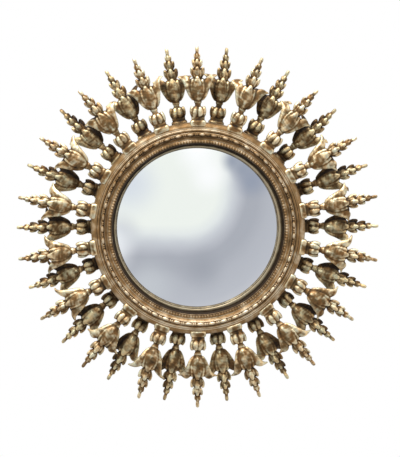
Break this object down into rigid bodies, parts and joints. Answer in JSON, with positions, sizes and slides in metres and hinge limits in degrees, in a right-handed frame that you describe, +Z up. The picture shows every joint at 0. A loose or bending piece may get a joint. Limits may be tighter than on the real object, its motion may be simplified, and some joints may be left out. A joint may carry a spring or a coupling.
{
  "type": "convex mirror",
  "caption": "Round wall mirror with a domed silvered glass in a turned gilt ring, edged with two rows of cast flower-and-leaf rays, hung from a swinging wire ring at the back.",
  "frame": {"origin": "where the mirror's axis meets the wall, on the back faces of the wall bumpers", "axes": "+Z up, -Y out of the wall towards the viewer, +X to the right as seen from the front"},
  "size_m": [0.646, 0.064, 0.6496],
  "materials": {
    "silvered_glass": "silvered from behind, polished, domed",
    "front_gilding": "cast resin, gilt and antiqued, rubbed bright on the high places",
    "rear_gilding": "cast resin, gilt and darkly antiqued",
    "ring_gilding": "turned wood, gilt and antiqued",
    "slip_gilding": "turned wood, dull olive gilding",
    "core_wood": "turned wood, stained dark",
    "board": "hardboard, smooth face outwards",
    "felt": "black felt",
    "bright_steel": "zinc plated",
    "hanger_brass": "brass plated, slightly dulled",
    "bumper_rubber": "soft black rubber"
  },
  "bodies": {
    "mirror": {"convex_glass": "silvered_glass", "slip_ring": "slip_gilding", "glass_cushion": "felt", "back_board": "board", "front_moulding": "ring_gilding", "flute_strip": "ring_gilding", "bead_strip": "ring_gilding", "core_ring": "core_wood", "ring_screws": "bright_steel", "board_clips": "bright_steel", "clip_screws": "bright_steel", "hanger_plate": "hanger_brass", "hanger_screws": "hanger_brass", "wall_bumpers": "bumper_rubber", "front_ray_01": "front_gilding", "front_ray_02": "front_gilding", "front_ray_03": "front_gilding", "front_ray_04": "front_gilding", "front_ray_05": "front_gilding", "front_ray_06": "front_gilding", "front_ray_07": "front_gilding", "front_ray_08": "front_gilding", "front_ray_09": "front_gilding", "front_ray_10": "front_gilding", "front_ray_11": "front_gilding", "front_ray_12": "front_gilding", "front_ray_13": "front_gilding", "front_ray_14": "front_gilding", "front_ray_15": "front_gilding", "front_ray_16": "front_gilding", "front_ray_17": "front_gilding", "front_ray_18": "front_gilding", "rear_ray_01": "rear_gilding", "rear_ray_02": "rear_gilding", "rear_ray_03": "rear_gilding", "rear_ray_04": "rear_gilding", "rear_ray_05": "rear_gilding", "rear_ray_06": "rear_gilding", "rear_ray_07": "rear_gilding", "rear_ray_08": "rear_gilding", "rear_ray_09": "rear_gilding", "rear_ray_10": "rear_gilding", "rear_ray_11": "rear_gilding", "rear_ray_12": "rear_gilding", "rear_ray_13": "rear_gilding", "rear_ray_14": "rear_gilding", "rear_ray_15": "rear_gilding", "rear_ray_16": "rear_gilding", "rear_ray_17": "rear_gilding", "rear_ray_18": "rear_gilding"},
    "hanging_ring": {"hanger_ring": "hanger_brass"}
  },
  "joints": [
    {"name": "ring_swing", "type": "hinge", "parent": "mirror", "child": "hanging_ring", "pos_m": [0, -0.003, 0.1645], "axis": [1, 0, 0], "range_deg": [-45, 180]}
  ]
}
